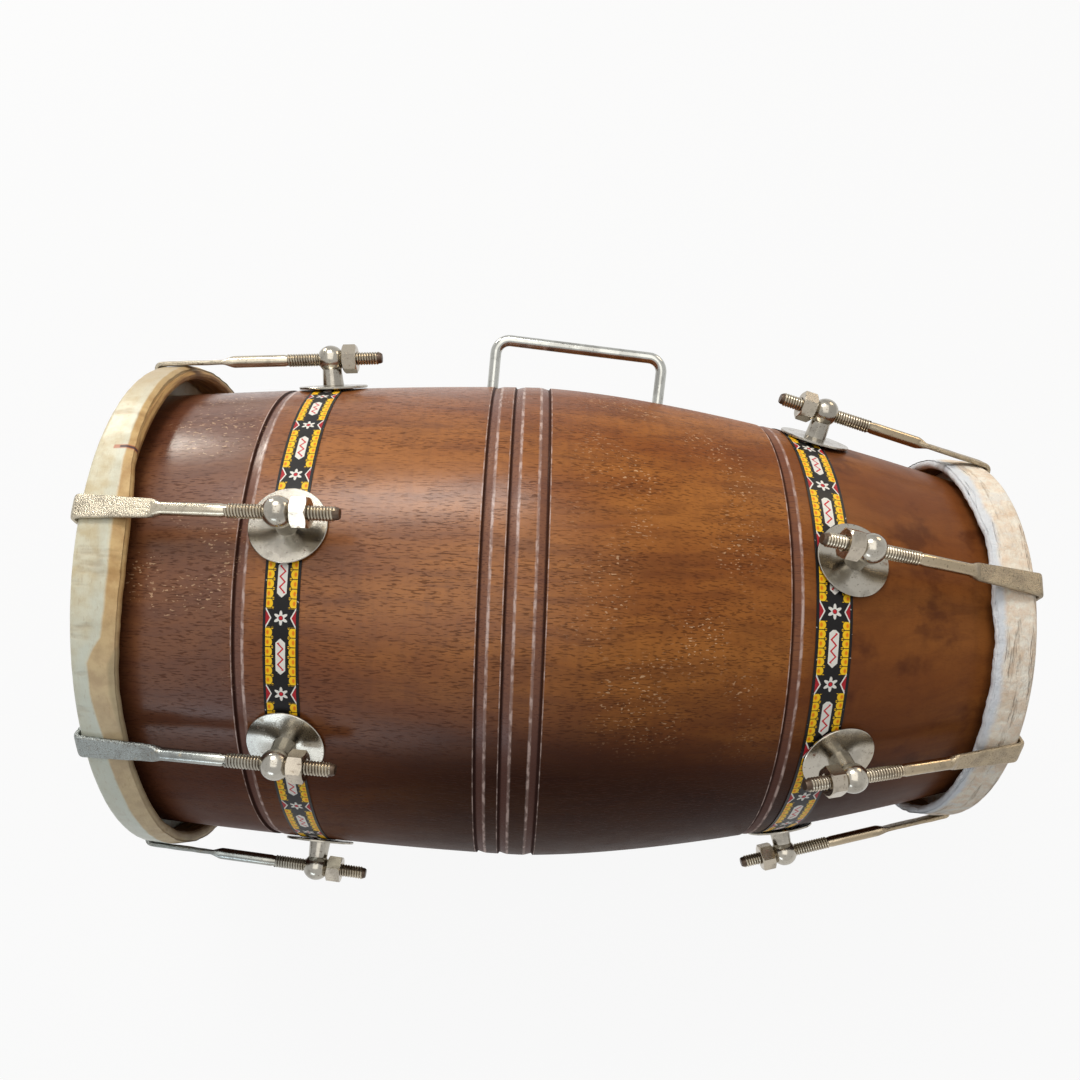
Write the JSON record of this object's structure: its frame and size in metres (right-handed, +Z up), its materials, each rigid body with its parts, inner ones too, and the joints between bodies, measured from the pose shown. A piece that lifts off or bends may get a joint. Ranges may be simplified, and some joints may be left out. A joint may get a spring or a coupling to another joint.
{
  "type": "dholak",
  "caption": "Two-headed barrel hand drum lying on its side, with bolt-tuned hook lugs round both heads and a bent wire carrying handle.",
  "frame": {"origin": "on the table under the middle of the bounding box of the drum lying on its side", "axes": "+Z up, +X from the bass head to the treble head, tilted down by the few degrees at which the drum rests, +Y away from the camera of the picture"},
  "size_m": [0.4846, 0.313, 0.3033],
  "materials": {
    "turned_wood": "dark red-brown stain under gloss varnish, open pores, turned grooves",
    "bass_goatskin": "cream and tan translucent skin, creased where it is lapped over the hoop",
    "treble_rawhide": "off-white fibrous rawhide with a frayed edge",
    "hoop_cane": "bare bent cane",
    "tuning_paste": "dry dark tuning compound",
    "woven_tape": "black tape with a yellow, red and white woven pattern",
    "post_steel": "polished plated steel, dull flat washers with small rust spots",
    "hook_steel": "forged and plated steel, grainy flat paddles",
    "nut_steel": "plated steel with bright chamfers",
    "handle_wire": "polished plated wire",
    "inner_fastener_steel": "plain zinc plated steel"
  },
  "bodies": {
    "drum": {"shell": "turned_wood", "bass_skin": "bass_goatskin", "bass_flesh_hoop": "hoop_cane", "bass_tape": "woven_tape", "treble_skin": "treble_rawhide", "treble_flesh_hoop": "hoop_cane", "treble_tape": "woven_tape", "bass_tuning_paste": "tuning_paste", "bass_post_1": "post_steel", "bass_post_2": "post_steel", "bass_post_3": "post_steel", "bass_post_4": "post_steel", "bass_post_5": "post_steel", "bass_post_6": "post_steel", "bass_post_7": "post_steel", "treble_post_1": "post_steel", "treble_post_2": "post_steel", "treble_post_3": "post_steel", "treble_post_4": "post_steel", "treble_post_5": "post_steel", "treble_post_6": "post_steel", "treble_post_7": "post_steel", "carry_handle": "handle_wire", "handle_washer_bass_side": "inner_fastener_steel", "handle_nut_bass_side": "inner_fastener_steel", "handle_washer_treble_side": "inner_fastener_steel", "handle_nut_treble_side": "inner_fastener_steel"},
    "bass_nut_1": {"bass_nut_1": "nut_steel"},
    "bass_hook_1": {"bass_hook_1": "hook_steel"},
    "bass_nut_2": {"bass_nut_2": "nut_steel"},
    "bass_hook_2": {"bass_hook_2": "hook_steel"},
    "bass_nut_3": {"bass_nut_3": "nut_steel"},
    "bass_hook_3": {"bass_hook_3": "hook_steel"},
    "bass_nut_4": {"bass_nut_4": "nut_steel"},
    "bass_hook_4": {"bass_hook_4": "hook_steel"},
    "bass_nut_5": {"bass_nut_5": "nut_steel"},
    "bass_hook_5": {"bass_hook_5": "hook_steel"},
    "bass_nut_6": {"bass_nut_6": "nut_steel"},
    "bass_hook_6": {"bass_hook_6": "hook_steel"},
    "bass_nut_7": {"bass_nut_7": "nut_steel"},
    "bass_hook_7": {"bass_hook_7": "hook_steel"},
    "treble_nut_1": {"treble_nut_1": "nut_steel"},
    "treble_hook_1": {"treble_hook_1": "hook_steel"},
    "treble_nut_2": {"treble_nut_2": "nut_steel"},
    "treble_hook_2": {"treble_hook_2": "hook_steel"},
    "treble_nut_3": {"treble_nut_3": "nut_steel"},
    "treble_hook_3": {"treble_hook_3": "hook_steel"},
    "treble_nut_4": {"treble_nut_4": "nut_steel"},
    "treble_hook_4": {"treble_hook_4": "hook_steel"},
    "treble_nut_5": {"treble_nut_5": "nut_steel"},
    "treble_hook_5": {"treble_hook_5": "hook_steel"},
    "treble_nut_6": {"treble_nut_6": "nut_steel"},
    "treble_hook_6": {"treble_hook_6": "hook_steel"},
    "treble_nut_7": {"treble_nut_7": "nut_steel"},
    "treble_hook_7": {"treble_hook_7": "hook_steel"}
  },
  "joints": [
    {"name": "bass_nut_1_turn", "type": "hinge", "parent": "drum", "child": "bass_nut_1", "pos_m": [-0.12628, 0.11896, 0.23874], "axis": [0.9988, 0.0481, -0.0017], "range_deg": [0, 2880]},
    {"name": "bass_hook_1_draw", "type": "slide", "parent": "drum", "child": "bass_hook_1", "axis": [-0.9988, -0.0481, 0.0017], "range_m": [0, 0.0125]},
    {"name": "bass_nut_2_turn", "type": "hinge", "parent": "drum", "child": "bass_nut_2", "pos_m": [-0.12403, -0.01107, 0.29504], "axis": [0.9991, -0.0301, 0.0307], "range_deg": [0, 2880]},
    {"name": "bass_hook_2_draw", "type": "slide", "parent": "drum", "child": "bass_hook_2", "axis": [-0.9991, 0.0301, -0.0307], "range_m": [0, 0.0125]},
    {"name": "bass_nut_3_turn", "type": "hinge", "parent": "drum", "child": "bass_nut_3", "pos_m": [-0.12626, -0.11631, 0.23975], "axis": [0.9977, -0.067, 0.0143], "range_deg": [0, 2880]},
    {"name": "bass_hook_3_draw", "type": "slide", "parent": "drum", "child": "bass_hook_3", "axis": [-0.9977, 0.067, -0.0143], "range_m": [0, 0.0125]},
    {"name": "bass_nut_4_turn", "type": "hinge", "parent": "drum", "child": "bass_nut_4", "pos_m": [-0.13112, -0.14786, 0.11874], "axis": [0.9941, -0.093, -0.0562], "range_deg": [0, 2880]},
    {"name": "bass_hook_4_draw", "type": "slide", "parent": "drum", "child": "bass_hook_4", "axis": [-0.9941, 0.093, 0.0562], "range_m": [0, 0.0125]},
    {"name": "bass_nut_5_turn", "type": "hinge", "parent": "drum", "child": "bass_nut_5", "pos_m": [-0.13554, -0.06447, 0.00861], "axis": [0.9919, -0.039, -0.1211], "range_deg": [0, 2880]},
    {"name": "bass_hook_5_draw", "type": "slide", "parent": "drum", "child": "bass_hook_5", "axis": [-0.9919, 0.039, 0.1211], "range_m": [0, 0.0125]},
    {"name": "bass_nut_6_turn", "type": "hinge", "parent": "drum", "child": "bass_nut_6", "pos_m": [-0.13553, 0.06661, 0.00876], "axis": [0.9935, 0.0332, -0.1087], "range_deg": [0, 2880]},
    {"name": "bass_hook_6_draw", "type": "slide", "parent": "drum", "child": "bass_hook_6", "axis": [-0.9935, -0.0332, 0.1087], "range_m": [0, 0.0125]},
    {"name": "bass_nut_7_turn", "type": "hinge", "parent": "drum", "child": "bass_nut_7", "pos_m": [-0.13141, 0.14817, 0.11119], "axis": [0.9966, 0.0621, -0.0542], "range_deg": [0, 2880]},
    {"name": "bass_hook_7_draw", "type": "slide", "parent": "drum", "child": "bass_hook_7", "axis": [-0.9966, -0.0621, 0.0542], "range_m": [0, 0.0125]},
    {"name": "treble_nut_1_turn", "type": "hinge", "parent": "drum", "child": "treble_nut_1", "pos_m": [0.13802, 0.09702, 0.22864], "axis": [-0.9572, 0.1859, 0.222], "range_deg": [0, 2880]},
    {"name": "treble_hook_1_draw", "type": "slide", "parent": "drum", "child": "treble_hook_1", "axis": [0.9572, -0.1859, -0.222], "range_m": [0, 0.0125]},
    {"name": "treble_nut_2_turn", "type": "hinge", "parent": "drum", "child": "treble_nut_2", "pos_m": [0.14073, -0.00855, 0.26814], "axis": [-0.9524, 0.0329, 0.303], "range_deg": [0, 2880]},
    {"name": "treble_hook_2_draw", "type": "slide", "parent": "drum", "child": "treble_hook_2", "axis": [0.9524, -0.0329, -0.303], "range_m": [0, 0.0125]},
    {"name": "treble_nut_3_turn", "type": "hinge", "parent": "drum", "child": "treble_nut_3", "pos_m": [0.13966, -0.10854, 0.21159], "axis": [-0.9581, -0.214, 0.1904], "range_deg": [0, 2880]},
    {"name": "treble_hook_3_draw", "type": "slide", "parent": "drum", "child": "treble_hook_3", "axis": [0.9581, 0.214, -0.1904], "range_m": [0, 0.0125]},
    {"name": "treble_nut_4_turn", "type": "hinge", "parent": "drum", "child": "treble_nut_4", "pos_m": [0.13141, -0.1281, 0.09444], "axis": [-0.9678, -0.249, -0.0377], "range_deg": [0, 2880]},
    {"name": "treble_hook_4_draw", "type": "slide", "parent": "drum", "child": "treble_hook_4", "axis": [0.9678, 0.249, 0.0377], "range_m": [0, 0.0125]},
    {"name": "treble_nut_5_turn", "type": "hinge", "parent": "drum", "child": "treble_nut_5", "pos_m": [0.12797, -0.04955, 0.00894], "axis": [-0.9744, -0.0975, -0.2026], "range_deg": [0, 2880]},
    {"name": "treble_hook_5_draw", "type": "slide", "parent": "drum", "child": "treble_hook_5", "axis": [0.9744, 0.0975, 0.2026], "range_m": [0, 0.0125]},
    {"name": "treble_nut_6_turn", "type": "hinge", "parent": "drum", "child": "treble_nut_6", "pos_m": [0.12828, 0.06742, 0.01655], "axis": [-0.9738, 0.1281, -0.188], "range_deg": [0, 2880]},
    {"name": "treble_hook_6_draw", "type": "slide", "parent": "drum", "child": "treble_hook_6", "axis": [0.9738, -0.1281, 0.188], "range_m": [0, 0.0125]},
    {"name": "treble_nut_7_turn", "type": "hinge", "parent": "drum", "child": "treble_nut_7", "pos_m": [0.13214, 0.1344, 0.11268], "axis": [-0.9663, 0.2572, -0.0025], "range_deg": [0, 2880]},
    {"name": "treble_hook_7_draw", "type": "slide", "parent": "drum", "child": "treble_hook_7", "axis": [0.9663, -0.2572, 0.0025], "range_m": [0, 0.0125]}
  ],
  "couplings": [
    {"joint": "bass_hook_1_draw", "follows": "bass_nut_1_turn", "m_per_rad": 0.0002387},
    {"joint": "bass_hook_2_draw", "follows": "bass_nut_2_turn", "m_per_rad": 0.0002387},
    {"joint": "bass_hook_3_draw", "follows": "bass_nut_3_turn", "m_per_rad": 0.0002387},
    {"joint": "bass_hook_4_draw", "follows": "bass_nut_4_turn", "m_per_rad": 0.0002387},
    {"joint": "bass_hook_5_draw", "follows": "bass_nut_5_turn", "m_per_rad": 0.0002387},
    {"joint": "bass_hook_6_draw", "follows": "bass_nut_6_turn", "m_per_rad": 0.0002387},
    {"joint": "bass_hook_7_draw", "follows": "bass_nut_7_turn", "m_per_rad": 0.0002387},
    {"joint": "treble_hook_1_draw", "follows": "treble_nut_1_turn", "m_per_rad": 0.0002387},
    {"joint": "treble_hook_2_draw", "follows": "treble_nut_2_turn", "m_per_rad": 0.0002387},
    {"joint": "treble_hook_3_draw", "follows": "treble_nut_3_turn", "m_per_rad": 0.0002387},
    {"joint": "treble_hook_4_draw", "follows": "treble_nut_4_turn", "m_per_rad": 0.0002387},
    {"joint": "treble_hook_5_draw", "follows": "treble_nut_5_turn", "m_per_rad": 0.0002387},
    {"joint": "treble_hook_6_draw", "follows": "treble_nut_6_turn", "m_per_rad": 0.0002387},
    {"joint": "treble_hook_7_draw", "follows": "treble_nut_7_turn", "m_per_rad": 0.0002387}
  ]
}
